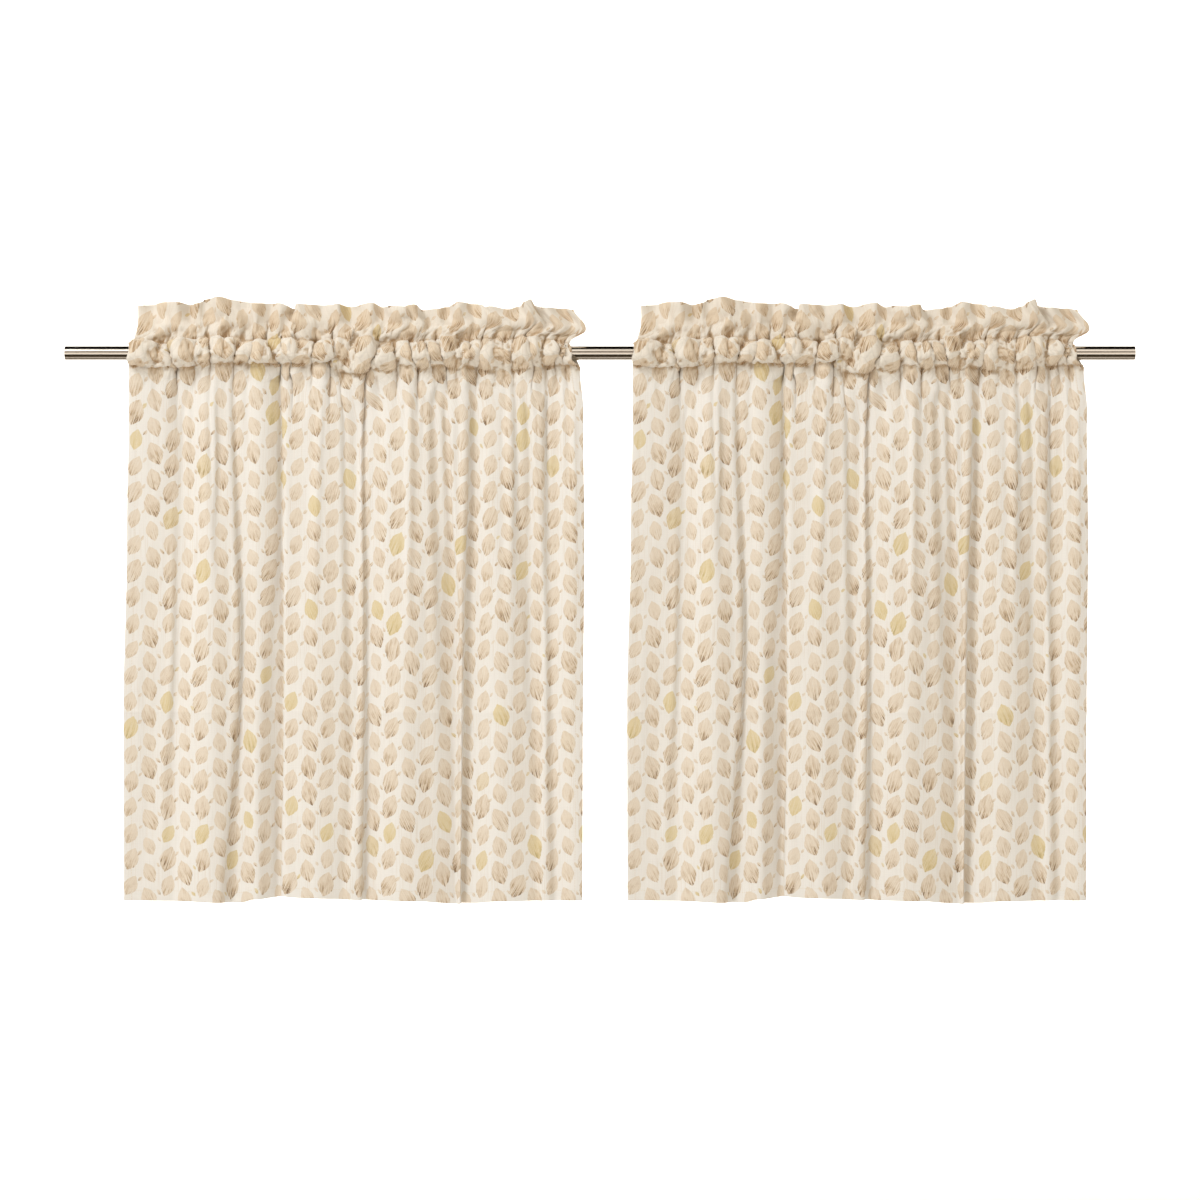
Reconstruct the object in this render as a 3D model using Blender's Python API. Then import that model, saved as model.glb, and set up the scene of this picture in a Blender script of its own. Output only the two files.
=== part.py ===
"""A pair of rod-pocket cafe curtains gathered on one plain round rod.

Metres, +Z up. The front faces -Y, and the origin is on the rod's axis at its mid length.
Each panel is one cloth with its hems: a hanging sheet, a pocket round the rod and, above it,
a standing heading of two layers. The cloth hangs in the folds that the tables below give.
"""

import math
from collections import namedtuple

import bmesh
import bpy

MM = 0.001

# Rod
ROD_LENGTH = 1348 * MM
ROD_RADIUS = 9 * MM
ROD_CHAMFER = 0.6 * MM
ROD_SIDES = 48

# Where the left side of each panel lies on the rod
PANEL_STARTS = {"panel_left": -592 * MM, "panel_right": 42 * MM}

# Cloth
CLOTH_THICKNESS = 1.2 * MM
SEAT_GAP = 0.3 * MM
POCKET_EASE = 1.6 * MM
HEM_HEIGHT = -689 * MM
WAIST_HEIGHT = -350 * MM
SHOULDER_HEIGHT = -100 * MM
POCKET_SEAM_HEIGHT = -24 * MM
HEADING_SEAM_HEIGHT = 13 * MM
HEADING_HEIGHT = 62 * MM

# How the gathers of the pocket die out below its seam, and how the folds grow there
GATHER_FADE = 95 * MM
GATHER_SHARE = 0.8
GATHER_MEAN = 4 * MM
FOLD_START = 0.25
SHEET_FORWARD = -4 * MM
BACK_LAYER_SHARE = 0.7

# Threads across a panel, and the heights of its rows below the pocket seam
THREADS = 60
CURVE_STEPS = 480
SHEET_HEIGHTS = [h * MM for h in (-689, -575, -452, -345, -245, -165, -108, -68, -42)]

# The wall of the pocket between its two seams: height, and how far round the rod it stands
PocketRow = namedtuple("PocketRow", "height reach")
POCKET_ROWS = [
    PocketRow(-13.0 * MM, 0.72),
    PocketRow(-3.0 * MM, 1.0),
    PocketRow(8.0 * MM, 0.96),
]
TUNNEL_FLOOR = -21.5 * MM

# The heading above its seam: share of its height, and how far its gathers stand out there
HeadingRow = namedtuple("HeadingRow", "rise stand")
HEADING_ROWS = [HeadingRow(0.0, 0.6), HeadingRow(0.5, 0.9), HeadingRow(1.0, 1.1)]

# The sides of a panel, in mm from its left side on the rod: height, left and right side, and
# how closely a shift of the sides keeps to them (1 spreads it evenly over the width)
Side = namedtuple("Side", "height left right keeps")
SIDES = [
    Side(-689, -9, 571, 1),
    Side(-452, -9, 571, 1),
    Side(-232, -4, 573, 2),
    Side(-75, -1, 571, 4),
    Side(-24, 0, 565, 8),
    Side(-3, 0, 554, 8),
    Side(13, 3, 552, 8),
    Side(37, 8, 575, 8),
    Side(62, 8, 560, 8),
]

# Gathers along the rod, in mm: place, how far the heading stands back, how far the
# pocket bulges off the rod, and the height of the heading's top edge
Gather = namedtuple("Gather", "place heading pocket top")
GATHERS = [
    Gather(0, 0, 3, 63),
    Gather(23, 5, 8, 64),
    Gather(39, -4, 1, 65),
    Gather(57, -6, 7, 65),
    Gather(71, 6, 0, 63),
    Gather(86, -4, 8, 63),
    Gather(98, 3, 0, 69),
    Gather(113, -8, 9, 72),
    Gather(135, -2, 0, 68),
    Gather(147, 4, 6, 65),
    Gather(160, -5, 1, 63),
    Gather(171, 5, 6, 64),
    Gather(185, -4, 0, 64),
    Gather(203, 7, 7, 57),
    Gather(222, -9, 0, 62),
    Gather(241, 3, 8, 61),
    Gather(260, -6, 1, 63),
    Gather(278, 6, 7, 61),
    Gather(301, -5, 0, 64),
    Gather(321, 5, 9, 59),
    Gather(336, -5, 1, 62),
    Gather(355, -8, 7, 62),
    Gather(375, 6, 2, 57),
    Gather(388, -1, 8, 57),
    Gather(398, 5, 0, 61),
    Gather(418, -7, 7, 66),
    Gather(431, 4, 1, 63),
    Gather(455, -6, 10, 61),
    Gather(478, -1, 0, 58),
    Gather(490, 6, 7, 61),
    Gather(505, -9, 2, 70),
    Gather(515, 5, 8, 62),
    Gather(530, -5, 1, 60),
    Gather(546, 6, 6, 60),
    Gather(563, -3, 2, 50),
]

# Folds of the hanging sheet, in mm: place at shoulder, waist and hem, half width, how far
# the fold goes back at shoulder, waist and hem (a ridge goes forward), and how far it leans
Fold = namedtuple("Fold", "at_shoulder at_waist at_hem half_width shoulder waist hem lean")
FOLDS = [
    Fold(56, 32, 18, 17, 8, 7, 6, 0.2),
    Fold(74, 66, 52, 14, 10, 11, 7, -0.2),
    Fold(103, 104, 96, 20, -9, -6, -6, 0.0),
    Fold(140, 153, 130, 12, 8, 15, 19, 0.3),
    Fold(180, 181, 174, 11, 18, 22, 21, -0.3),
    Fold(232, 228, 238, 22, -8, -8, -7, 0.0),
    Fold(279, 283, 262, 10, 12, 9, 6, 0.2),
    Fold(303, 308, 304, 11, 18, 21, 20, -0.2),
    Fold(352, 342, 350, 22, -10, -9, -6, 0.0),
    Fold(388, 402, 396, 12, 11, 17, 20, 0.3),
    Fold(438, 434, 426, 11, 15, 19, 18, -0.3),
    Fold(478, 466, 470, 16, -8, -7, -6, 0.0),
    Fold(494, 510, 505, 11, 11, 10, 8, 0.2),
    Fold(531, 535, 540, 11, 11, 9, 8, -0.2),
    Fold(556, 556, 560, 12, -4, -4, -3, 0.0),
]


def ease(share):
    """A smooth step from 0 to 1."""
    share = min(max(share, 0.0), 1.0)
    return share * share * (3.0 - 2.0 * share)


def between(value, knots):
    """The smooth curve through knots, rows of (place, height), read at value."""
    if value <= knots[0][0]:
        return knots[0][1]
    for (start, low), (end, high) in zip(knots, knots[1:]):
        if value <= end:
            return low + (high - low) * ease((value - start) / (end - start))
    return knots[-1][1]


def gather(share, column):
    """One column of the gathers, in metres, at a share of the panel's width."""
    place = share * GATHERS[-1].place
    return MM * between(place, [(row.place, getattr(row, column)) for row in GATHERS])


def fold_push(place, height):
    """How far the folds move the sheet sideways and back, at a place in mm."""
    sideways = 0.0
    back = 0.0
    for fold in FOLDS:
        centre = between(
            height,
            [
                (HEM_HEIGHT, fold.at_hem),
                (WAIST_HEIGHT, fold.at_waist),
                (SHOULDER_HEIGHT, fold.at_shoulder),
            ],
        )
        depth = between(
            height,
            [
                (HEM_HEIGHT, fold.hem),
                (WAIST_HEIGHT, fold.waist),
                (SHOULDER_HEIGHT, fold.shoulder),
                (POCKET_SEAM_HEIGHT, fold.shoulder * FOLD_START),
            ],
        )
        push = depth * math.exp(-(((place - centre) / fold.half_width) ** 2))
        sideways += fold.lean * push
        back += push
    return sideways * MM, back * MM


def outline(height, share):
    """Where the panel's outline puts a share of its width, in mm along the rod."""
    left, right, keeps = (
        between(height / MM, [(row.height, getattr(row, column)) for row in SIDES])
        for column in ("left", "right", "keeps")
    )
    width = GATHERS[-1].place
    return share * width + left * (1.0 - share) ** keeps + (right - width) * share**keeps


def sheet_point(share, height):
    """The middle of the hanging sheet."""
    place = outline(height, share)
    sideways, back = fold_push(place, height)
    drop = (POCKET_SEAM_HEIGHT - height) / GATHER_FADE
    held = 1.0 - ease(drop)
    bulge = (gather(share, "pocket") - GATHER_MEAN) * GATHER_SHARE * held
    return (place * MM + sideways, SHEET_FORWARD * (1.0 - held) + back - bulge)


def pocket_point(share, row, side):
    """The middle of the pocket's front (side -1) or back (side 1) layer."""
    place = outline(row.height, share)
    share_of_bulge = 1.0 if side < 0 else BACK_LAYER_SHARE
    bulge = gather(share, "pocket") * share_of_bulge
    off_axis = ROD_RADIUS + POCKET_EASE + CLOTH_THICKNESS / 2 + bulge
    return (place * MM, side * off_axis * row.reach)


def heading_point(share, height, stand):
    """The middle of the heading, whose gathers open out as it stands up."""
    place = outline(height, share)
    return (place * MM, gather(share, "heading") * stand)


def even_shares(curve):
    """Where threads that lie at equal lengths of cloth come along curve(share)."""
    points = [curve(step / CURVE_STEPS) for step in range(CURVE_STEPS + 1)]
    lengths = [0.0]
    for a, b in zip(points, points[1:]):
        lengths.append(lengths[-1] + math.dist(a, b))
    shares = []
    step = 0
    for thread in range(THREADS + 1):
        wanted = lengths[-1] * thread / THREADS
        while step < CURVE_STEPS - 1 and lengths[step + 1] < wanted:
            step += 1
        part = (wanted - lengths[step]) / (lengths[step + 1] - lengths[step])
        shares.append(min((step + part) / CURVE_STEPS, 1.0))
    return shares


def layer(curve, shares, heights, half):
    """The front and back faces of one row of cloth, half its thickness off its middle."""
    front = []
    back = []
    for share, z in zip(shares, heights):
        x, y = curve(share)
        xa, ya = curve(max(share - 1.0 / CURVE_STEPS, 0.0))
        xb, yb = curve(min(share + 1.0 / CURVE_STEPS, 1.0))
        span = math.hypot(xb - xa, yb - ya)
        off_x = half * (yb - ya) / span
        off_y = half * (xb - xa) / span
        front.append((x + off_x, y - off_y, z))
        back.append((x - off_x, y + off_y, z))
    return front, back


def panel_rows():
    """Rows of points: the panel's outer front and back, and the tunnel inside its pocket."""
    front, back, tunnel_front, tunnel_back = [], [], [], []
    half = CLOTH_THICKNESS / 2
    for height in SHEET_HEIGHTS + [POCKET_SEAM_HEIGHT]:
        shares = even_shares(lambda s: sheet_point(s, height))
        level = [height] * len(shares)
        rows = layer(lambda s: sheet_point(s, height), shares, level, half)
        front.append(rows[0])
        back.append(rows[1])
    for row in POCKET_ROWS:
        level = [row.height] * len(shares)
        outer, inner = layer(lambda s: pocket_point(s, row, -1), shares, level, half)
        front.append(outer)
        tunnel_front.append(inner)
        inner, outer = layer(lambda s: pocket_point(s, row, 1), shares, level, half)
        back.append(outer)
        tunnel_back.append(inner)
    for row in HEADING_ROWS:
        height = HEADING_SEAM_HEIGHT + (HEADING_HEIGHT - HEADING_SEAM_HEIGHT) * row.rise
        tops = [gather(share, "top") - HEADING_SEAM_HEIGHT for share in shares]
        level = [HEADING_SEAM_HEIGHT + top * row.rise for top in tops]
        rows = layer(lambda s: heading_point(s, height, row.stand), shares, level, 2 * half)
        front.append(rows[0])
        back.append(rows[1])
    floor = [(x, y, TUNNEL_FLOOR) for x, y, z in middle_of(front, back, len(SHEET_HEIGHTS))]
    roof = [(x, 0.0, ROD_RADIUS + SEAT_GAP) for x, y, z in tunnel_front[-1]]
    tunnel_front = [floor] + tunnel_front + [roof]
    tunnel_back = [floor] + tunnel_back + [roof]
    return front, back, tunnel_front, tunnel_back


def middle_of(front, back, row):
    return [tuple((a + b) / 2 for a, b in zip(p, q)) for p, q in zip(front[row], back[row])]


def add_strips(bm, rows):
    """Skins neighbouring rows of vertices with four-sided faces."""
    for low, high in zip(rows, rows[1:]):
        for i in range(len(low) - 1):
            bm.faces.new((low[i], low[i + 1], high[i + 1], high[i]))


def make_panel(name, start, material):
    """One closed solid: outer skin, tunnel skin, hem and top edges, and two side edges."""
    bm = bmesh.new()
    made = {}

    def vertex(point):
        if point not in made:
            x, y, z = point
            made[point] = bm.verts.new((x + start, y, z))
        return made[point]

    front, back, tunnel_front, tunnel_back = (
        [[vertex(point) for point in row] for row in rows] for rows in panel_rows()
    )
    add_strips(bm, front)
    add_strips(bm, back)
    add_strips(bm, tunnel_front)
    add_strips(bm, tunnel_back)
    add_strips(bm, [front[0], back[0]])
    add_strips(bm, [front[-1], back[-1]])
    pocket = len(SHEET_HEIGHTS)
    pocket_top = pocket + len(tunnel_front) - 1
    for side in (0, -1):
        for k in list(range(pocket)) + list(range(pocket_top, len(front) - 1)):
            bm.faces.new((front[k][side], front[k + 1][side], back[k + 1][side], back[k][side]))
        for outer, inner in ((front, tunnel_front), (back, tunnel_back)):
            for k in range(len(inner) - 1):
                wall = (outer[pocket + k], outer[pocket + k + 1], inner[k + 1], inner[k])
                bm.faces.new([row[side] for row in wall])
        bm.faces.new((front[pocket][side], tunnel_front[0][side], back[pocket][side]))
        bm.faces.new((front[pocket_top][side], tunnel_front[-1][side], back[pocket_top][side]))
    finish(bm, name, material)


def make_rod(name, material):
    """A plain bar along X with chamfered ends."""
    bm = bmesh.new()
    half = ROD_LENGTH / 2
    rings = []
    for x, radius in (
        (-half, ROD_RADIUS - ROD_CHAMFER),
        (-half + ROD_CHAMFER, ROD_RADIUS),
        (half - ROD_CHAMFER, ROD_RADIUS),
        (half, ROD_RADIUS - ROD_CHAMFER),
    ):
        angles = [2 * math.pi * i / ROD_SIDES for i in range(ROD_SIDES)]
        rings.append(
            [bm.verts.new((x, radius * math.sin(a), radius * math.cos(a))) for a in angles]
        )
    for low, high in zip(rings, rings[1:]):
        for i in range(ROD_SIDES):
            j = (i + 1) % ROD_SIDES
            bm.faces.new((low[i], low[j], high[j], high[i]))
    for ring in (rings[0], rings[-1]):
        bm.faces.new(ring)
    finish(bm, name, material)


def finish(bm, name, material):
    """Turns the faces outward and puts the mesh in the scene as one object."""
    bmesh.ops.recalc_face_normals(bm, faces=bm.faces)
    for face in bm.faces:
        face.smooth = len(face.verts) <= 4
    mesh = bpy.data.meshes.new(name)
    bm.to_mesh(mesh)
    bm.free()
    mesh.materials.append(material)
    bpy.context.scene.collection.objects.link(bpy.data.objects.new(name, mesh))


def make_material(name, color, roughness, metallic):
    material = bpy.data.materials.new(name)
    material.use_nodes = True
    shader = material.node_tree.nodes["Principled BSDF"]
    shader.inputs["Base Color"].default_value = (*color, 1.0)
    shader.inputs["Roughness"].default_value = roughness
    shader.inputs["Metallic"].default_value = metallic
    return material


def main():
    for thing in list(bpy.data.objects):
        bpy.data.objects.remove(thing)
    cloth = make_material("printed_cotton", (0.80, 0.71, 0.60), 0.9, 0.0)
    steel = make_material("brushed_steel", (0.56, 0.51, 0.46), 0.3, 1.0)
    make_rod("rod", steel)
    for name, start in PANEL_STARTS.items():
        make_panel(name, start, cloth)


main()
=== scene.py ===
"""The looks of a pair of cafe curtains on a plain metal rod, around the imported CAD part.

Metres, +Z up, the front faces -Y. Both panels are the same cloth: a thin sheet hung in the
folds of its solid, gathered on the rod, with hems, seams, stitches and a printed pattern.
"""

import math
from collections import namedtuple

import bpy
import numpy as np
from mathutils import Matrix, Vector


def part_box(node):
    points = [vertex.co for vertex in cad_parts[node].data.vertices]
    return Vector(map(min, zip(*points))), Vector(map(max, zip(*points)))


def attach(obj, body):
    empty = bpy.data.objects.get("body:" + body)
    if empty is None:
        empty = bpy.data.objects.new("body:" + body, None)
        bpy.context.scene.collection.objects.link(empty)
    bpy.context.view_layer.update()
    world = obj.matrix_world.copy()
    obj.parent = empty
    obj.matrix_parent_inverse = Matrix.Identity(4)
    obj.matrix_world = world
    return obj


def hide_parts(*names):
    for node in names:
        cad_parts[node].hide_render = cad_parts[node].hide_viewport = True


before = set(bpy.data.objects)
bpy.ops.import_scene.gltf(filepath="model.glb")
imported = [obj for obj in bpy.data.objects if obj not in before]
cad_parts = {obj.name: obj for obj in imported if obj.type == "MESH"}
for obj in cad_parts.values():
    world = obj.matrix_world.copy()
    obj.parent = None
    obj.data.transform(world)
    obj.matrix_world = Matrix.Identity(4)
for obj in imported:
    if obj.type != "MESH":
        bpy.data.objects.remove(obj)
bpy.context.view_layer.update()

MM = 0.001


def table(columns, *rows):
    """Rows whose values are read by the names of their columns."""
    kind = namedtuple("Row", columns)
    return [kind(*row) for row in rows]


# The rod and the panels, from the frame
rod_low, rod_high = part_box("rod")
ROD_RADIUS = (rod_high[2] - rod_low[2]) / 2
ROD_HALF_LENGTH = (rod_high[0] - rod_low[0]) / 2
panel_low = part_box("panel_left")[0]
right_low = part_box("panel_right")[0]
SIDE_OVERHANG = 9 * MM
PANEL_START = panel_low[0] + SIDE_OVERHANG
PANEL_STEP = right_low[0] - panel_low[0]
HEM_HEIGHT = panel_low[2]
POCKET_SEAM_HEIGHT = -18 * MM
HEADING_SEAM_HEIGHT = 15 * MM
WAIST_HEIGHT = -350 * MM
SHOULDER_HEIGHT = -100 * MM
CREASE_HEIGHT = -452 * MM

# The cloth, finished and as cut
CLOTH_THICKNESS = 0.7 * MM
FLAT_WIDTH = 0.705
SHEET_LENGTH = POCKET_SEAM_HEIGHT - HEM_HEIGHT
POCKET_LENGTH = 50 * MM
HEADING_LENGTH = 46 * MM
FLAT_LENGTH = SHEET_LENGTH + POCKET_LENGTH + HEADING_LENGTH

# The sides of a panel, in mm from its left side on the rod: height, left and right side, and
# how closely a shift of the sides keeps to them
SIDES = table(
    "height left right keeps",
    (-689, -9, 571, 1), (-452, -9, 571, 1), (-232, -4, 573, 2), (-75, -1, 571, 4),
    (-22, 0, 565, 8), (-3, 0, 554, 8), (15, 3, 552, 8), (37, 7, 577, 6), (62, 8, 562, 8),
)

# Flutes of the heading, in mm: place, how far the top edge stands back there and leans
# sideways, and the height of that edge
FLUTES = table(
    "place back lean top",
    (0, 0, 0, 63), (23, 6, 0, 64), (39, -5, 0, 65), (57, -6, 0, 65), (71, 7, 3, 63),
    (86, -5, -3, 63), (98, 4, 0, 69), (113, -9, 0, 72), (135, -2, 0, 68), (147, 5, 3, 65),
    (160, -6, -3, 63), (171, 6, 3, 64), (185, -5, 2, 64), (203, 8, 9, 57), (222, -10, -11, 62),
    (241, 4, 0, 61), (260, -7, 0, 63), (278, 7, -4, 61), (301, -6, 4, 64), (321, 6, -5, 59),
    (336, -6, -2, 62), (355, -8, 6, 62), (375, 7, -4, 57), (388, -2, 0, 57), (398, 6, 0, 61),
    (418, -8, 0, 66), (431, 5, 0, 63), (455, -7, 0, 61), (478, -2, 0, 58), (490, 7, 2, 61),
    (499, -9, 0, 68), (508, -9, 0, 70), (516, 6, -3, 63), (530, -6, -2, 60), (546, 7, 3, 60),
    (563, -3, 0, 57),
)

# Pinches that the gathering makes at the rod, in mm: where each crosses the lower and the upper
# seam, how deep it is at each as a share of a full one, how far it bends aside between them,
# how far the puff of cloth on its right leans, and how far it reaches down into the sheet
PINCHES = table(
    "low high deep_low deep_high bend lean reach",
    (-4, -4, 0.7, 0.7, 0, 0, 40), (30, 38, 0.2, 0.7, 2, 2, 25), (59, 48, 1.0, 1.0, -2, -3, 45),
    (82, 80, 0.7, 0.0, 1, 1, 25), (101, 96, 0.9, 1.1, 3, 2, 35),
    (118, 121, 0.0, 0.6, -2, -1, 20), (131, 142, 1.0, 0.8, -3, 3, 45),
    (149, 156, 0.5, 1.0, 2, -3, 30), (184, 171, 1.1, 1.0, 3, 4, 60),
    (205, 190, 1.0, 1.1, -3, -3, 55), (219, 211, 0.2, 0.7, 2, 2, 25),
    (228, 233, 1.0, 0.8, -2, 4, 35), (252, 256, 1.1, 1.1, 3, -4, 45),
    (268, 284, 0.9, 0.8, -3, 5, 75), (299, 311, 1.1, 1.0, 4, -5, 65),
    (316, 320, 0.7, 0.1, -2, 2, 40), (336, 330, 0.9, 1.1, 2, 4, 45),
    (362, 350, 1.0, 0.8, -3, 3, 60), (379, 371, 0.6, 0.4, 2, -2, 30),
    (398, 386, 1.0, 1.1, 3, -4, 40), (411, 420, 0.7, 1.0, -4, 3, 30),
    (429, 429, 0.6, 1.0, 1, 0, 25), (439, 446, 1.0, 1.0, 2, -3, 45),
    (460, 462, 0.0, 0.5, 2, 1, 20), (471, 473, 0.3, 1.0, 1, 0, 25),
    (481, 485, 1.0, 1.0, -2, 4, 35), (508, 502, 1.0, 1.1, 3, -3, 50),
    (523, 529, 1.1, 1.0, -2, 3, 65), (535, 545, 1.1, 1.1, 2, 3, 60),
    (547, 555, 0.9, 1.0, 1, 2, 45), (570, 570, 0.6, 0.6, 0, 0, 40),
)

# Puffs between the pinches: how far they stand out, as a share of their width up to the widest,
# how round and how swollen aside they are, how much of that the seams share, how far the upper
# and lower half hang over, what puff a seam lies even with, and how a seam waves besides
PUFF_RISE = 0.46
PUFF_ROUNDNESS = 0.55
PUFF_SWELL = 0.15
SEAM_SWELL = 0.5
WIDEST_PUFF = 30
SEAM_MEAN = 4 * MM
OVERHANG_LOW = 0.4
OVERHANG_HIGH = 1.3
PUFF_MEAN = 4 * MM
PINCH_SAG = 1.5 * MM
SEAM_WOBBLE = 0.8 * MM
LONG_WOBBLE = 16
SHORT_WOBBLE = 6.7

# How far the crumpled seams run above their even heights, in mm
SEAMS = table(
    "place low high",
    (0, 3, -3), (24, 1, -1), (48, 0, -3), (73, 2, 0), (100, 5, 5), (124, 5, 5), (150, 6, 1),
    (176, 5, 2), (200, 6, 2), (222, 2, 0), (244, 6, -2), (266, -5, 2), (290, -8, 1),
    (306, 0, 0), (326, -6, 0), (345, 2, 0), (360, -3, -2), (392, 3, 1), (412, -3, 3),
    (428, 1, 1), (450, -4, 5), (474, -4, 1), (492, -1, 4), (510, 0, 4), (530, 2, 3),
    (563, 3, -3),
)
SEAM_FADE = 50 * MM

# Folds of the hanging sheet, in mm: place at shoulder, waist and hem, half width, how far
# the fold goes back at shoulder, waist and hem (a ridge goes forward), and how far it leans
FOLDS = table(
    "at_shoulder at_waist at_hem half_width shoulder waist hem lean",
    (56, 32, 18, 17, 8, 6, 5, 0.3), (74, 66, 52, 13, 10, 10, 6, -0.6),
    (103, 104, 96, 20, -8, -5, -5, 0.0), (140, 153, 130, 11, 8, 12, 14, -0.85),
    (180, 181, 174, 10, 15, 16, 15, 0.75), (232, 228, 238, 22, -7, -6, -5, 0.0),
    (279, 283, 262, 10, 11, 8, 6, 0.6), (303, 308, 304, 11, 10, 12, 13, -0.75),
    (352, 342, 350, 22, -8, -7, -5, 0.0), (388, 402, 396, 11, 11, 14, 15, 0.85),
    (438, 434, 426, 10, 14, 15, 13, -0.7), (478, 466, 470, 16, -6, -6, -5, 0.0),
    (494, 510, 505, 10, 11, 9, 7, 0.7), (531, 535, 540, 10, 11, 8, 6, -0.5),
    (556, 556, 560, 12, -4, -4, -3, 0.0),
)

# How far the hem hangs above or below its line, in mm
HANGS = table(
    "place up",
    (0, 0), (70, -1), (120, -3), (145, -3), (158, 1), (190, 5), (220, 3), (300, 0), (365, -1),
    (398, -5), (425, -4), (460, -1), (563, 0),
)
HANG_FADE = 150 * MM

# Tucks, where crumpled cloth folds over itself near the rod: a ridge from one place and height
# to another, in mm, its half width, how far it stands out (a crease goes in) and how far it
# leans over to the right
TUCKS = table(
    "place height to_place to_height half_width out lean",
    (40, -10, 52, 20, 5, 3, -3), (104, 20, 112, 48, 6, 3, 4), (178, -34, 186, -8, 5, 4, 5),
    (214, -40, 205, -9, 5, 4, -5), (205, 52, 214, 16, 8, 5, -6), (282, -92, 264, -14, 7, 4, -4),
    (303, -64, 322, 10, 9, 8, -8), (246, -42, 238, -6, 5, 4, 4), (362, -7, 391, 5, 5, 6, 0),
    (346, 16, 372, 44, 6, 4, 5), (376, -60, 384, -20, 6, 3, 4), (430, -38, 424, -4, 5, 4, -4),
    (470, 14, 478, 40, 6, 3, 4), (488, 16, 500, 60, 8, 5, 3), (522, -16, 543, 16, 4, 4, 4),
    (536, -12, 552, 20, 4, 4, 4), (524, -60, 530, -14, 5, 3, 3), (505, -70, 516, -20, 6, 3, -4),
    (541, -75, 539, -22, 5, 3, 4), (39, 12, 61, -18, 3, -3, 1), (99, 6, 84, -14, 3, -3, -1),
    (84, -14, 103, -12, 3, 3, 0), (133, 12, 130, -10, 3, -4, 1),
    (167, 20, 174, -12, 2.6, -3, 2), (183, -8, 189, -38, 3, -4, 2),
    (211, -8, 200, -38, 3, -4, -2), (218, 17, 228, -16, 2.6, -3, 2),
    (226, 18, 243, 10, 3, -5, 0), (250, 16, 254, -12, 2.6, -4, 2),
    (257, -14, 268, -42, 3, -4, 2), (246, -10, 245, -38, 2.6, -3, 1),
    (279, 15, 296, 3, 3, -4, 0), (316, 17, 303, -9, 3, -4, 2), (349, 26, 361, 2, 3, -3, 2),
    (412, -22, 421, 7, 3, -4, 2), (485, -2, 494, -20, 3, -3, 1), (499, -14, 523, -9, 3, -3, 0),
    (523, -17, 545, 12, 2.6, -4, 2), (516, -30, 519, -58, 3, -3, 1),
)

# How far the heading's flutes flare, what a fold keeps at the pocket, where the sheet hangs
# below the rod, and how loosely the pocket's layers lie round it
FLARE = 0.5
FOLD_START = 0.25
FORWARD_FADE = 95 * MM
SHEET_FORWARD = -4 * MM
POCKET_EASE = 1.4 * MM
BACK_LAYER_SHARE = 0.7

# The grid that is settled: columns of threads, rows of sheet, pocket and heading
SETTLE_COLUMNS = 281
SETTLE_SHEET_ROWS = 96
SETTLE_POCKET_ROWS = 22
SETTLE_HEADING_ROWS = 18
SETTLE_FRAMES = 22
FINE_STEPS = 1200


def ease(share):
    share = np.clip(share, 0.0, 1.0)
    return share * share * (3.0 - 2.0 * share)


def step_of(value, places):
    """Between which two places each value is, and how far along from one to the next."""
    i = np.clip(np.searchsorted(places, value, side="right") - 1, 0, len(places) - 2)
    return i, np.clip((value - places[i]) / (places[i + 1] - places[i]), 0.0, 1.0)


def between(value, places, levels):
    """The curve through levels at places, read at value, eased from each to the next."""
    levels = np.asarray(levels, float)
    i, share = step_of(value, np.asarray(places, float))
    return levels[i] + (levels[i + 1] - levels[i]) * ease(share)


def column(rows, name):
    return np.array([getattr(row, name) for row in rows], float)


ROD_WIDTH = FLUTES[-1].place
PINCH = {name: column(PINCHES, name) for name in PINCHES[0]._fields}


def read(rows, name, share):
    """One column of a table, in metres, at shares of the panel's width."""
    return MM * between(share * ROD_WIDTH, column(rows, "place"), column(rows, name))


def puffs(share, along):
    """How far the cloth puffs out between pinches, and leans, from lower seam 0 to upper 1."""
    place = share * ROD_WIDTH
    between_seams = math.sin(math.pi * along)
    pinches = PINCH["low"] * (1 - along) + PINCH["high"] * along + PINCH["bend"] * between_seams
    deep = PINCH["deep_low"] * (1 - along) + PINCH["deep_high"] * along
    widths = np.diff(pinches)
    i, across = step_of(place, pinches)
    dome = np.sin(across * math.pi) ** PUFF_ROUNDNESS
    depth = deep[i] * (1 - across) + deep[i + 1] * across
    middles = (pinches[:-1] + pinches[1:]) / 2
    height = between(place, middles, np.minimum(widths, WIDEST_PUFF))
    rise = PUFF_RISE * height * (1 - depth * (1 - dome))
    swell = PUFF_SWELL * widths[i] * np.sin(2 * math.pi * across) * np.minimum(depth, 1)
    return MM * rise, MM * (PINCH["lean"][i] * dome - swell)


def seam_wave(share, along):
    """How far sideways and back a seam goes where the gathering waves it."""
    rise, aside = puffs(share, along)
    return aside * SEAM_SWELL, SEAM_MEAN - rise


def seam_height(share, along):
    """How high the lower (along 0) or upper (along 1) seam runs."""
    even = HEADING_SEAM_HEIGHT if along else POCKET_SEAM_HEIGHT
    above = read(SEAMS, "high" if along else "low", share)
    place = share * ROD_WIDTH + 40 * along
    wobble = np.sin(place / LONG_WOBBLE) + 0.7 * np.sin(place / SHORT_WOBBLE + 1.0)
    return even + above + SEAM_WOBBLE * wobble


def outline(share, height):
    """Where shares of the panel's width come at a height, in mm along the rod."""
    heights = column(SIDES, "height")
    left, right, keeps = (
        between(height / MM, heights, column(SIDES, name)) for name in ("left", "right", "keeps")
    )
    return share * ROD_WIDTH + left * (1 - share) ** keeps + (right - ROD_WIDTH) * share**keeps


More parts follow.
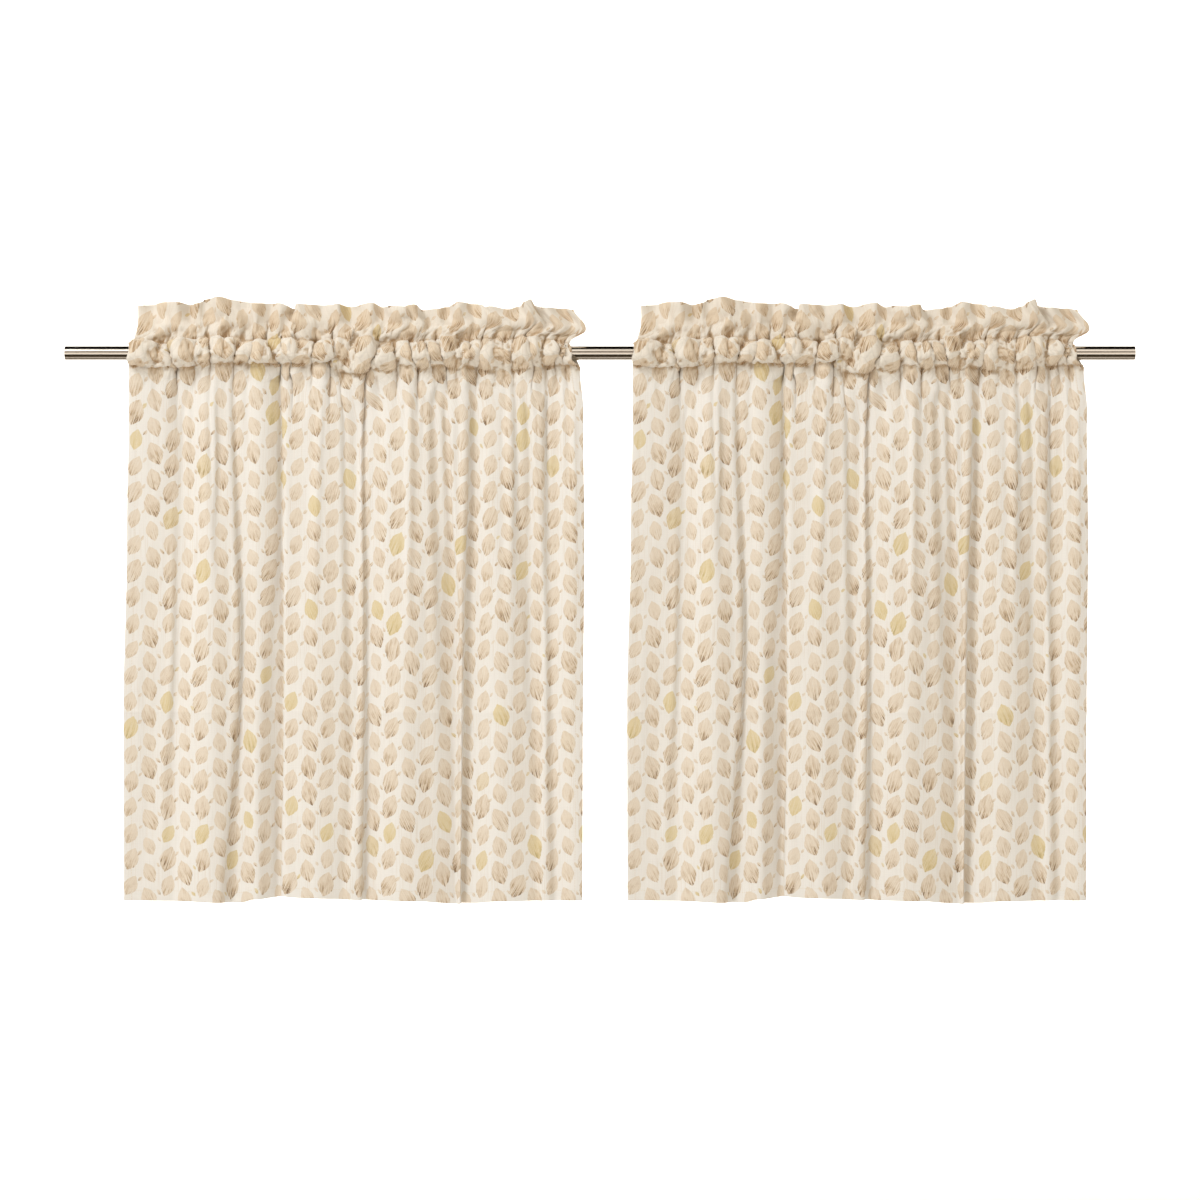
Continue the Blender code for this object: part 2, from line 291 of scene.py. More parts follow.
def fold_push(place, height):
    """How far the folds move the sheet sideways and back, at places in mm."""
    sideways = np.zeros_like(place)
    back = np.zeros_like(place)
    levels = (HEM_HEIGHT, WAIST_HEIGHT, SHOULDER_HEIGHT)
    for f in FOLDS:
        centre = between(height, levels, (f.at_hem, f.at_waist, f.at_shoulder))
        depth = between(
            height,
            levels + (POCKET_SEAM_HEIGHT,),
            (f.hem, f.waist, f.shoulder, f.shoulder * FOLD_START),
        )
        push = depth * np.exp(-(((place - centre) / f.half_width) ** 2))
        sideways += f.lean * push
        back += push
    return sideways * MM, back * MM


def sheet_row(share, height):
    """One row of the hanging sheet."""
    place = outline(share, height)
    sideways, back = fold_push(place, height)
    below = POCKET_SEAM_HEIGHT - height
    reach = MM * between(share * ROD_WIDTH, PINCH["low"], PINCH["reach"])
    held = np.exp(-((below / reach) ** 1.4))
    forward = SHEET_FORWARD * ease(below / FORWARD_FADE)
    lift = (seam_height(share, 0) - POCKET_SEAM_HEIGHT) * np.exp(-((below / SEAM_FADE) ** 2))
    lift = lift + read(HANGS, "up", share) * np.exp(-(height - HEM_HEIGHT) / HANG_FADE)
    seam_aside, seam_back = seam_wave(share, 0)
    sideways = sideways + seam_aside * held
    return place * MM + sideways, forward + back + seam_back * held, height + lift


def taut(height, radius, seams):
    """How far off the rod's axis a layer drawn tight between the seams is at a height."""
    off = np.sqrt(np.maximum(radius**2 - height**2, 0))
    for seam, below in zip(seams, (True, False)):
        touch = radius**2 / seam
        slope = np.sqrt(radius**2 - touch**2) / (seam - touch)
        beyond = height < touch if below else height > touch
        off = np.where(beyond, np.maximum((seam - height) * slope, 0), off)
    return off


def pocket_row(share, along, low, high, side):
    """One row of the pocket's front (side -1) or back (side 1) layer, round the rod.

    Its seams, low and high, are given as how far back and how high they are.
    """
    rise, lean = puffs(share, along)
    if side > 0:
        rise = rise * BACK_LAYER_SHARE
    free = math.sin(math.pi * along) ** 0.7
    even = low[1] * (1 - along) + high[1] * along
    above_mean = np.maximum(rise - PUFF_MEAN, -PINCH_SAG)
    most = OVERHANG_LOW if along < 0.5 else OVERHANG_HIGH
    overhang = -most * above_mean * math.sin(2 * math.pi * along)
    radius = ROD_RADIUS + POCKET_EASE + CLOTH_THICKNESS / 2
    seams = (np.minimum(low[1], -radius - MM), np.maximum(high[1], radius + MM))
    off_axis = taut(even, radius, seams) + rise * free
    seam = (low[0] * (1.0 - along) + high[0] * along) * (1 - free)
    place = outline(share, even) * MM + lean * (SEAM_SWELL + (1 - SEAM_SWELL) * free)
    return place, seam + side * off_axis, even + overhang


def heading_row(share, rise):
    """One row of the heading, whose pinches open out into flutes as it stands up."""
    height = HEADING_SEAM_HEIGHT + HEADING_LENGTH * rise
    opened = ease(rise) ** 0.8
    seam_aside, seam_back = seam_wave(share, 1)
    lean = read(FLUTES, "lean", share) * rise
    place = outline(share, height) * MM + lean + seam_aside * (1 - opened)
    back = seam_back * (1 - rise) ** 1.3
    back = back + read(FLUTES, "back", share) * opened * (1.0 + FLARE * rise)
    low = seam_height(share, 1)
    return place, back, low + (read(FLUTES, "top", share) - low) * rise


def even_shares(curve, count):
    """Shares at which count threads, at equal lengths of cloth, come along a row."""
    fine = np.linspace(0, 1, FINE_STEPS + 1)
    x, y = curve(fine)[:2]
    run = np.concatenate([[0.0], np.cumsum(np.hypot(np.diff(x), np.diff(y)))])
    return np.interp(np.linspace(0, run[-1], count), run, fine)


def hung_cloth(columns, sheet_rows, pocket_rows, heading_rows):
    """The front layer from hem to top edge: points by row and thread, and each row's length."""
    rows = []
    lengths = []
    for k in range(sheet_rows + 1):
        # Rows come closer together towards the pocket
        part = k / sheet_rows
        along = part * (1.4 - 0.4 * part)
        height = HEM_HEIGHT + SHEET_LENGTH * along
        share = even_shares(lambda s: sheet_row(s, height), columns)
        rows.append(np.stack(sheet_row(share, height), -1))
        lengths.append(SHEET_LENGTH * along)
    seam_low, seam_high = ((seam_wave(share, k)[1], seam_height(share, k)) for k in (0, 1))
    for k in range(1, pocket_rows + 1):
        along = k / pocket_rows
        rows.append(np.stack(pocket_row(share, along, seam_low, seam_high, -1), -1))
        lengths.append(SHEET_LENGTH + POCKET_LENGTH * along)
    for k in range(1, heading_rows + 1):
        rise = k / heading_rows
        share_up = even_shares(lambda s: heading_row(s, rise), columns)
        rows.append(np.stack(heading_row(share * (1 - rise) + share_up * rise, rise), -1))
        lengths.append(SHEET_LENGTH + POCKET_LENGTH + HEADING_LENGTH * rise)
    return np.array(rows), np.array(lengths)


def grid_faces(rows, columns):
    at = np.arange(rows * columns).reshape(rows, columns)
    corners = (at[:-1, :-1], at[:-1, 1:], at[1:, 1:], at[1:, :-1])
    return np.stack(corners, -1).reshape(-1, 4)


def placed(name, data):
    """Puts a mesh, light or camera into the scene."""
    made = bpy.data.objects.new(name, data)
    bpy.context.scene.collection.objects.link(made)
    return made


def new_object(name, points, faces):
    mesh = bpy.data.meshes.new(name)
    mesh.from_pydata(np.asarray(points, float).reshape(-1, 3).tolist(), [], faces)
    return placed(name, mesh)


def new_tubes(name, rings):
    """One object of closed tubes, from their points by tube, ring and side."""
    numbers = np.arange(rings[..., 0].size).reshape(rings.shape[:3])
    following = np.roll(numbers, -1, axis=2)
    walls = np.stack([numbers[:, :-1], numbers[:, 1:], following[:, 1:], following[:, :-1]], -1)
    ends = numbers[:, 0].tolist() + numbers[:, -1, ::-1].tolist()
    made = new_object(name, rings, walls.reshape(-1, 4).tolist() + ends)
    made.data.shade_smooth()
    return made


def settle(points, lengths, seam_rows):
    """Lets the gathered cloth settle under its own weight, held at its seams on the rod.

    The cloth wants its flat size back, so it buckles into small creases between the seams.
    """
    rows, columns = points.shape[:2]
    cloth = new_object("settling", points, grid_faces(rows, columns).tolist())
    cloth.shape_key_add(name="Basis")
    flat = cloth.shape_key_add(name="flat")
    across = np.tile(np.linspace(0, FLAT_WIDTH, columns), (rows, 1))
    up = np.tile(lengths[:, None], (1, columns))
    flat_points = np.stack([across, np.zeros_like(across), up], -1)
    flat.data.foreach_set("co", flat_points.astype(np.float32).ravel())
    flat.value = 0.0
    held = cloth.vertex_groups.new(name="held")
    for row in seam_rows:
        held.add(list(range(row * columns, (row + 1) * columns)), 1.0, "REPLACE")
    modifier = cloth.modifiers.new("cloth", "CLOTH")
    cotton = modifier.settings
    cotton.quality = 6
    cotton.mass = 0.15
    cotton.tension_stiffness = 30
    cotton.compression_stiffness = 30
    cotton.shear_stiffness = 8
    cotton.bending_stiffness = 0.5
    cotton.air_damping = 2
    cotton.vertex_group_mass = "held"
    cotton.pin_stiffness = 1
    cotton.rest_shape_key = flat
    cotton.effector_weights.gravity = 0.3
    modifier.collision_settings.use_collision = True
    modifier.collision_settings.distance_min = 0.5 * MM
    modifier.collision_settings.use_self_collision = False
    modifier.point_cache.frame_start = 1
    modifier.point_cache.frame_end = SETTLE_FRAMES
    bpy.ops.mesh.primitive_cylinder_add(
        vertices=48,
        radius=ROD_RADIUS,
        depth=2 * ROD_HALF_LENGTH,
        rotation=(0, math.pi / 2, 0),
        location=(ROD_WIDTH * MM / 2, 0, 0),
    )
    bar = bpy.context.object
    bar.modifiers.new("collision", "COLLISION")
    bar.collision.thickness_outer = 0.3 * MM
    for number in range(1, SETTLE_FRAMES + 1):
        bpy.context.scene.frame_set(number)
    depsgraph = bpy.context.evaluated_depsgraph_get()
    found = np.empty(rows * columns * 3, np.float32)
    cloth.evaluated_get(depsgraph).data.vertices.foreach_get("co", found)
    bpy.context.scene.frame_set(1)
    bpy.data.objects.remove(cloth)
    bpy.data.objects.remove(bar)
    return found.reshape(rows, columns, 3).astype(float)


# The finished mesh: hems, thread spacing and row spacing
BOTTOM_HEM = 14 * MM
SIDE_HEM = 12 * MM
STITCH_INSET = 1.5 * MM
HEM_PLIES = 1.2 * MM
HEM_RIDGE = 0.14 * MM
STITCH_DIP = 0.2 * MM
SEAM_TUCK = 3.5 * MM
SEAM_GROOVE = 0.15 * MM
SEAM_GROOVE_WIDTH = 1.6 * MM
EDGE_ROUND = 1.0 * MM
THIN_EDGE = 0.4
THREAD_SPACING = 2.4 * MM
SHEET_SPACING = 9 * MM
TOP_SPACING = 2.9 * MM
TOP_ZONE = 65 * MM
CREASE_SIZE = 1.5 * MM
CREASE_WIDTH = 4.5 * MM
WRINKLE_SIZE = 0.9 * MM
WRINKLE_WAVES = (0.055, 0.075, 0.11, 0.16, 0.21, 0.034, 0.047)
WRINKLE_SEED = 11
WRINKLES_FULL = 60 * MM
CRUMPLE_SIZE = 1.4
CRUMPLE_REACH = 40 * MM
FACET_WIDTH = 13 * MM
FACET_LENGTH = 19 * MM
FACET_HEIGHT = 3.0 * MM
FACET_MEAN = 0.4
FACET_SEED = 5
# How far the settling may move the cloth, how much more of it each metre below the pocket
# allows, and what the heading keeps of its drop
SHEET_MOVE = 8 * MM
POCKET_MOVE = 2.5 * MM
HEADING_MOVE = 4 * MM
MOVE_GROWTH = 0.1
HEADING_DROP = 0.3
# Creases, which get a painted shade, are where cloth lies behind the mean of what is around it, in
# so many steps
VALLEY_STEPS = 3
VALLEY_START = 0.2 * MM
VALLEY_DEPTH = 0.9 * MM


def spaced(start, end, spacing):
    return np.linspace(start, end, max(2, int(round((end - start) / spacing)) + 1))


def joined(*runs):
    return np.unique(np.round(np.concatenate(runs), 6))


def hem_places(start, inward, width):
    """Rows or threads packed closely over a hem and beside its stitches."""
    stitches = width - STITCH_INSET
    steps = [0, EDGE_ROUND, 3.5 * MM, 7 * MM, stitches - MM, stitches, stitches + MM, width + MM]
    return start + inward * np.array(steps)


def resample(points, old, new):
    """A grid read at new places along its first axis, on a smooth cubic through the old ones."""
    slope = np.gradient(points, old, axis=0)
    i, share = step_of(new, old)
    span = np.diff(old)[i][:, None, None]
    t = share[:, None, None]
    near = points[i] * (1 + 2 * t) + slope[i] * span * t
    far = points[i + 1] * (3 - 2 * t) + slope[i + 1] * span * (t - 1)
    return near * (1 - t) ** 2 + far * t * t


def wrinkles(across, up, seed):
    """Slight uneven waves of worn, ironed cotton, from -1 to 1."""
    draws = np.random.default_rng(seed)
    total = 0.0
    for wave in WRINKLE_WAVES:
        turn = draws.uniform(-1.2, 1.2)
        phase = draws.uniform(0, 2 * math.pi)
        bend = draws.uniform(0, 2 * math.pi)
        run = across * math.cos(turn) + up * math.sin(turn) * 0.6
        curve = phase + 1.5 * np.sin(up / 0.13 + bend)
        total = total + wave * np.sin(run * 2 * math.pi / wave + curve)
    return total / np.abs(total).max()


# Small sharp creases of crumpled cotton: how far apart, at what angle to the threads in
# degrees, how far and how closely they bend, over what length they come and go, and how far
# they stand out (a valley goes in)
CRUMPLES = table(
    "spacing angle bend bend_spacing patch out",
    (14, 10, 2.5, 9, 31, 1.2), (17, -28, 3.0, 12, 23, -1.2), (11, 48, 2.0, 7, 19, 0.8),
    (21, -66, 4.0, 15, 37, 1.0), (9, -12, 1.5, 8, 27, -0.9), (8, 75, 1.5, 6, 17, -0.6),
)


def crumple(across, up):
    """How far small creases stand out of the cloth."""
    x, y = across / MM, up / MM
    total = 0.0
    for number, c in enumerate(CRUMPLES):
        angle = math.radians(c.angle)
        run = x * math.cos(angle) + y * math.sin(angle)
        beside = y * math.cos(angle) - x * math.sin(angle)
        run = run + c.bend * np.sin(beside / c.bend_spacing + number)
        ridge = 1 - np.abs(np.sin(run * math.pi / c.spacing))
        here = np.sin(x * 2 * math.pi / c.patch + number) * np.sin(y * 2 * math.pi / c.patch)
        total = total + c.out * ridge**1.5 * ease(0.5 + 0.9 * here)
    return MM * total


def facets(across, up):
    """Uneven facets of crumpled cloth: 0 at the creases between them, about 1 in the middle."""
    x, y = np.broadcast_arrays(across / FACET_WIDTH, up / FACET_LENGTH)
    draws = np.random.default_rng(FACET_SEED)
    spots = draws.uniform(0.1, 0.9, (int(x.max()) + 3, int(y.max()) + 3, 2))
    cell_x, cell_y = np.floor(x).astype(int), np.floor(y).astype(int)
    distances = []
    for step_x in (-1, 0, 1):
        for step_y in (-1, 0, 1):
            spot = spots[cell_x + 1 + step_x, cell_y + 1 + step_y]
            from_x = x - cell_x - step_x - spot[..., 0]
            from_y = y - cell_y - step_y - spot[..., 1]
            distances.append(np.hypot(from_x, from_y))
    nearest, second = np.sort(distances, axis=0)[:2]
    return second - nearest


def tucked(grid):
    """Raises the tucks, each a ridge that leans over to one side."""
    x, z = grid[..., 0] / MM, grid[..., 2] / MM
    grid = grid.copy()
    for t in TUCKS:
        length = math.hypot(t.to_place - t.place, t.to_height - t.height)
        way_x, way_z = (t.to_place - t.place) / length, (t.to_height - t.height) / length
        along = ((x - t.place) * way_x + (z - t.height) * way_z) / length
        aside = (x - t.place) * way_z - (z - t.height) * way_x
        profile = dip(aside, t.half_width) * np.sin(math.pi * np.clip(along, 0, 1)) ** 0.8
        grid[..., 0] += t.lean * MM * profile
        grid[..., 1] -= t.out * MM * profile
    return grid


def face_normals(points):
    """Unit normals of a grid of rows and threads, on the side that the room sees."""
    normal = np.cross(np.gradient(points, axis=1), np.gradient(points, axis=0))
    return normal / np.linalg.norm(normal, axis=-1, keepdims=True)


def dip(distance, width):
    return np.exp(-((distance / width) ** 2))


def settled_cloth():
    """The hung front layer, settled, with its rows' lengths."""
    grid, lengths = hung_cloth(
        SETTLE_COLUMNS, SETTLE_SHEET_ROWS, SETTLE_POCKET_ROWS, SETTLE_HEADING_ROWS
    )
    low, high = SETTLE_SHEET_ROWS, SETTLE_SHEET_ROWS + SETTLE_POCKET_ROWS
    moved = settle(grid, lengths, (low, high)) - grid
    moved[high:, :, 2] *= HEADING_DROP
    limit = np.minimum(SHEET_MOVE, POCKET_MOVE + MOVE_GROWTH * (SHEET_LENGTH - lengths))
    limit[low:high] = POCKET_MOVE
    limit[high:] = HEADING_MOVE
    reach = np.maximum(np.linalg.norm(moved, axis=-1), 1e-9)
    kept = np.minimum(1.0, limit[:, None] / reach)
    return grid + moved * kept[..., None], lengths


class Cloth:
    """One panel's cloth on its finished grid of rows and threads, with all its faces."""

    def __init__(self):
        grid, lengths = settled_cloth()
        high_seam = SHEET_LENGTH + POCKET_LENGTH
        self.up = joined(
            hem_places(0.0, 1, BOTTOM_HEM),
            spaced(BOTTOM_HEM + 4 * MM, SHEET_LENGTH - TOP_ZONE, SHEET_SPACING),
            spaced(SHEET_LENGTH - TOP_ZONE, SHEET_LENGTH, TOP_SPACING),
            spaced(SHEET_LENGTH, high_seam, TOP_SPACING * 0.85),
            spaced(high_seam, FLAT_LENGTH - EDGE_ROUND, TOP_SPACING),
            [FLAT_LENGTH],
            CREASE_HEIGHT - HEM_HEIGHT + np.array([-5, -2.5, 0, 2.5, 5]) * MM,
        )
        self.across = joined(
            hem_places(0.0, 1, SIDE_HEM),
            spaced(SIDE_HEM + 4 * MM, FLAT_WIDTH - SIDE_HEM - 4 * MM, THREAD_SPACING),
            hem_places(FLAT_WIDTH, -1, SIDE_HEM),
        )
        grid = resample(grid, lengths, self.up)
        threads = np.linspace(0, FLAT_WIDTH, SETTLE_COLUMNS)
        grid = tucked(resample(grid.swapaxes(0, 1), threads, self.across).swapaxes(0, 1))
        self.low = int(np.argmin(np.abs(self.up - SHEET_LENGTH)))
        self.high = int(np.argmin(np.abs(self.up - high_seam)))
        self.from_side = np.minimum(self.across, FLAT_WIDTH - self.across)[None, :]
        self.from_hem = self.up[:, None]
        self.middle = self.creased(grid)
        self.normal = face_normals(self.middle)
        self.valley_shade = self.valley_shades()
        self.pocket_back = self.back_of_pocket()
        self.pocket_normal = -face_normals(self.pocket_back)

    def creased(self, grid):
        """Adds the crease that packing pressed across the panel, and slight wrinkles."""
        up = self.from_hem
        across = self.across[None, :]
        crease_place = CREASE_HEIGHT - HEM_HEIGHT
        wander = 0.8 * np.sin(across / 0.09) + 0.5 * np.sin(across / 0.031)
        ridge = CREASE_SIZE * np.exp(-np.abs(up - crease_place - wander * MM) / CREASE_WIDTH)
        below_pocket = ease((SHEET_LENGTH - up) / WRINKLES_FULL)
        push = ridge + WRINKLE_SIZE * wrinkles(across, up, WRINKLE_SEED) * below_pocket
        at_rod = dip(up - SHEET_LENGTH - POCKET_LENGTH / 2, CRUMPLE_REACH)
        facet = FACET_HEIGHT * (facets(across, up) - FACET_MEAN)
        push = push + (CRUMPLE_SIZE * crumple(across, up) + facet) * at_rod
        return grid + push[..., None] * face_normals(grid)

    def valley_shades(self):
        """How far each point lies in a crease, behind the cloth around it, from 0 to 1: how much
        painted shade it gets.
        """
        around = self.middle
        for _ in range(VALLEY_STEPS):
            wide = np.pad(around, ((1, 1), (1, 1), (0, 0)), "edge")
            beside = wide[1:-1, :-2] + wide[1:-1, 2:]
            around = (beside + wide[:-2, 1:-1] + wide[2:, 1:-1]) / 4
        behind = np.sum((around - self.middle) * self.normal, axis=-1)
        return ease((behind - VALLEY_START) / (VALLEY_DEPTH - VALLEY_START))

    def thickness_share(self):
        """Thins the cloth towards its edges, so that a fold there looks round."""
        from_top = FLAT_LENGTH - self.from_hem
        nearest = np.minimum(np.minimum(self.from_hem, from_top), self.from_side)
        return THIN_EDGE + (1 - THIN_EDGE) * np.clip(nearest / EDGE_ROUND, 0, 1)

    def hemmed(self):
        return (self.from_hem < BOTTOM_HEM) | (self.from_side < SIDE_HEM)

    def front(self):
        """The printed face of the front layer, with its seams drawn in."""
        grooves = dip(self.from_hem - self.up[self.low], SEAM_GROOVE_WIDTH)
        grooves = grooves + dip(self.from_hem - self.up[self.high], SEAM_GROOVE_WIDTH)
        stitch = dip(self.from_hem - BOTTOM_HEM + STITCH_INSET, MM)
        stitch = stitch + dip(self.from_side - SIDE_HEM + STITCH_INSET, MM)
        off = CLOTH_THICKNESS / 2 * self.thickness_share() + HEM_RIDGE * self.hemmed()
        off = off - SEAM_GROOVE * grooves - STITCH_DIP * stitch
        return self.middle + self.normal * off[..., None]

    def back(self):
        """The face behind: hems, tucked seam, back of the pocket and back of the heading."""
        sheet = self.from_hem <= SHEET_LENGTH
        tuck = sheet & (self.from_hem > SHEET_LENGTH - SEAM_TUCK)
        heading = self.from_hem > self.up[self.high] - MM
        off = CLOTH_THICKNESS * (0.5 + tuck + heading) + HEM_PLIES * (self.hemmed() & sheet)
        found = self.middle - self.normal * (off * self.thickness_share())[..., None]
        wall = self.pocket_back + self.pocket_normal * CLOTH_THICKNESS / 2
        found[self.low + 1 : self.high] = wall[1:-1]
        return found

    def back_of_pocket(self):
        """The middle of the pocket's back layer, which gathers by itself between the seams."""
        low, high = self.middle[self.low], self.middle[self.high]
        share = np.clip((low[:, 0] - low[0, 0]) / (low[-1, 0] - low[0, 0]), 0, 1)
        # The same pinches, a little aside and closer together
        other_gathers = (share * 0.93 + 0.05) % 1.0
        rows = []
        for along in np.linspace(0, 1, self.high - self.low + 1):
            y, z = pocket_row(other_gathers, along, low[:, 1:].T, high[:, 1:].T, 1)[1:]
            place = low[:, 0] * (1 - along) + high[:, 0] * along
            rows.append(np.stack([place, y, z], -1))
        rows[0] = low
        rows[-1] = high
        return np.array(rows)

    def tunnel(self):
        """The inner faces of the pocket, front and back, from its floor to its roof."""
        half = CLOTH_THICKNESS / 2
        pocket = slice(self.low, self.high + 1)
        front = self.middle[pocket] - self.normal[pocket] * half
        back = self.pocket_back - self.pocket_normal * half
        lift = np.array([0, 0, CLOTH_THICKNESS])
        for wall in (front, back):
            wall[0] = self.middle[self.low] + lift
            wall[-1] = self.middle[self.high] - lift
        return front, back


# Where each stretch of a panel lies on the map of its whole surface
Patch = namedtuple("Patch", "left low width height")
PATCHES = {
    "front": (0.005, 0.005, 0.485, 0.925),
    "back": (0.510, 0.005, 0.485, 0.925),
    "tunnel_front": (0.005, 0.940, 0.485, 0.035),
    "tunnel_back": (0.510, 0.940, 0.485, 0.035),
    "hem": (0.005, 0.980, 0.485, 0.006),
    "top": (0.510, 0.980, 0.485, 0.006),
    "corner": (0.501, 0.17, 0.003, 0.003),
}
for side, left in (("left", 0.493), ("right", 0.497)):
    PATCHES[side] = (left, 0.005, 0.003, 0.60)
    PATCHES[side + "_heading"] = (left, 0.61, 0.003, 0.15)
    PATCHES[side + "_pocket"] = (left, 0.77, 0.003, 0.15)
    PATCHES[side + "_pocket_back"] = (left + 0.008, 0.005, 0.003, 0.15)
PRINTED = 0
REVERSE = 1


class Shell:
    """Collects a panel's points, how deep in creases they are for a painted shade, and its faces,
    on two maps.

    The first map is the flat cloth in metres, the second one has a patch for each stretch.
    """

    def __init__(self):
        self.points = []
        self.count = 0
        self.faces = []
        self.slots = []
        self.cloth_map = []
        self.patch_map = []
        self.valley_shades = []

    def add_points(self, grid, valley_shades=0.0):
        numbers = np.arange(grid.shape[0] * grid.shape[1]).reshape(grid.shape[:2]) + self.count
        self.points.append(grid.reshape(-1, 3))
        self.valley_shades.append(np.broadcast_to(valley_shades, grid.shape[:2]).reshape(-1))
        self.count += numbers.size
        return numbers

    def add_strip(self, numbers, patch_name, across, up, slot, flip=False):
        """Skins rows of point numbers; across and up are the places on the flat cloth."""
        numbers = np.asarray(numbers)
        rows, columns = numbers.shape
        patch = Patch(*PATCHES[patch_name])
        a, b = np.meshgrid(np.linspace(0, 1, columns), np.linspace(0, 1, rows))
        patch_map = np.stack([patch.left + a * patch.width, patch.low + b * patch.height], -1)
        cloth_map = np.stack(np.broadcast_arrays(across, up, numbers)[:2], -1)
        corners = [(0, 0), (0, 1), (1, 1), (1, 0)]
        if flip:
            corners.reverse()

        def by_face(values):
            picked = [values[i : rows - 1 + i, j : columns - 1 + j] for i, j in corners]
            return np.stack(picked, 2).reshape((rows - 1) * (columns - 1), 4, -1)

        self.faces += by_face(numbers)[..., 0].tolist()
        self.cloth_map.append(by_face(cloth_map).reshape(-1, 2))
        self.patch_map.append(by_face(patch_map).reshape(-1, 2))
        self.slots.append(np.broadcast_to(slot, (rows - 1, columns - 1)).reshape(-1))

    def add_corner(self, numbers, across, up, flip):
        """The small triangle where a side wall splits round the pocket."""
        patch = Patch(*PATCHES["corner"])
        steps = np.array([[0, 0], [patch.width, 0], [0, patch.height]])
        self.faces.append([int(n) for n in (reversed(numbers) if flip else numbers)])
        self.cloth_map.append(np.tile([across, up], (3, 1)))
        self.patch_map.append(steps + [patch.left, patch.low])
        self.slots.append([PRINTED])

    def build(self, name, start):
        points = np.concatenate(self.points) + np.array([start, 0, 0])
        made = new_object(name, points, self.faces)
        mesh = made.data
        for title, values in (("cloth", self.cloth_map), ("OFBake", self.patch_map)):
            layer = mesh.uv_layers.new(name=title)
            layer.uv.foreach_set("vector", np.concatenate(values).astype(np.float32).ravel())
        mesh.uv_layers["cloth"].active_render = True
        valley_shade = mesh.attributes.new("valley_shade", "FLOAT", "POINT")
        valley_shade.data.foreach_set("value", np.concatenate(self.valley_shades).astype(np.float32))
        mesh.polygons.foreach_set("material_index", np.concatenate(self.slots).astype(np.int32))
        mesh.shade_smooth()
        mesh.update()
        return made


def panel_shell(cloth):
    """One closed thin sheet: the printed face, the face behind, the tunnel and all edges."""
    shell = Shell()
    up = cloth.from_hem
    across = cloth.across[None, :]
    low, high = cloth.low, cloth.high
    front = shell.add_points(cloth.front(), cloth.valley_shade)
    back = shell.add_points(cloth.back())
    tunnel_front, tunnel_back = cloth.tunnel()
    inner_front = shell.add_points(tunnel_front)
    inner_back = np.vstack(
        [inner_front[:1], shell.add_points(tunnel_back[1:-1]), inner_front[-1:]]
    )
    shell.add_strip(front, "front", across, up, PRINTED)
    # Behind, the printed face shows where the cloth is turned over: hems, pocket and heading
    turned = cloth.hemmed() | (up > SHEET_LENGTH - SEAM_TUCK)
    turned = turned[:-1, :-1] & turned[1:, 1:]
    behind_up = np.where(up > SHEET_LENGTH, 2 * FLAT_LENGTH - up, -up)
    shell.add_strip(back, "back", across, behind_up, np.where(turned, PRINTED, REVERSE), True)
    pocket_up = cloth.from_hem[low : high + 1]
    shell.add_strip(inner_front, "tunnel_front", across, pocket_up, REVERSE, True)
    shell.add_strip(inner_back, "tunnel_back", across, pocket_up, REVERSE)
    edge = np.array([[0.0], [CLOTH_THICKNESS]])
    shell.add_strip([front[0], back[0]], "hem", across, edge, PRINTED, True)
    shell.add_strip([front[-1], back[-1]], "top", across, FLAT_LENGTH + edge, PRINTED)
    for side, name, flip in ((0, "left", True), (-1, "right", False)):
        place = cloth.across[side]
        width = place + edge.T
        for rows, patch in ((slice(0, low + 1), name), (slice(high, None), name + "_heading")):
            pair = np.stack([front[rows, side], back[rows, side]], 1)
            shell.add_strip(pair, patch, width, up[rows], PRINTED, flip)
        rows = slice(low, high + 1)
        pair = np.stack([front[rows, side], inner_front[:, side]], 1)
        shell.add_strip(pair, name + "_pocket", width, up[rows], PRINTED, flip)
        pair = np.stack([back[rows, side], inner_back[:, side]], 1)
        shell.add_strip(pair, name + "_pocket_back", width, up[rows], PRINTED, not flip)
        foot = (back[low, side], front[low, side], inner_front[0, side])
        head = (front[high, side], back[high, side], inner_front[-1, side])
        shell.add_corner(foot, place, up[low, 0], not flip)
        shell.add_corner(head, place, up[high, 0], not flip)
    return shell


# Stitches: a run of short bent threads along a seam
STITCH_LENGTH = 2.7 * MM
STITCH_GAP = 0.6 * MM
THREAD_RADIUS = 0.19 * MM
STITCH_SIDES = 5
# How far along a stitch each ring lies, how high it stands and how wide it is, as shares
STITCH_RINGS = table(
    "along rise width",
    (0, -0.8, 0.5), (0.2, 0.35, 1), (0.5, 0.6, 1.05), (0.8, 0.35, 1), (1, -0.8, 0.5),
)


def stitch_run(points, normals):
    """Stitches along a line on the cloth: their points, by stitch, ring and side."""
    run = np.concatenate([[0], np.cumsum(np.linalg.norm(np.diff(points, axis=0), axis=1))])
    starts = np.arange(STITCH_GAP, run[-1] - STITCH_LENGTH, STITCH_LENGTH + STITCH_GAP)
    along = column(STITCH_RINGS, "along") * STITCH_LENGTH
    places = starts[:, None] + along[None, :]

    def at_places(values):
        return np.stack([np.interp(places, run, values[:, k]) for k in range(3)], -1)

    centre = at_places(points)
    out = at_places(normals)
    out /= np.linalg.norm(out, axis=-1, keepdims=True)
    ahead = np.gradient(centre, axis=1)
    ahead /= np.linalg.norm(ahead, axis=-1, keepdims=True)
    aside = np.cross(out, ahead)
    rise = column(STITCH_RINGS, "rise")[:, None]
    width = column(STITCH_RINGS, "width")[:, None, None]
    centre = centre + out * rise * THREAD_RADIUS
    turn = np.arange(STITCH_SIDES) * 2 * math.pi / STITCH_SIDES
    round_it = out[:, :, None] * np.cos(turn)[:, None] + aside[:, :, None] * np.sin(turn)[:, None]
    return centre[:, :, None] + round_it * THREAD_RADIUS * width


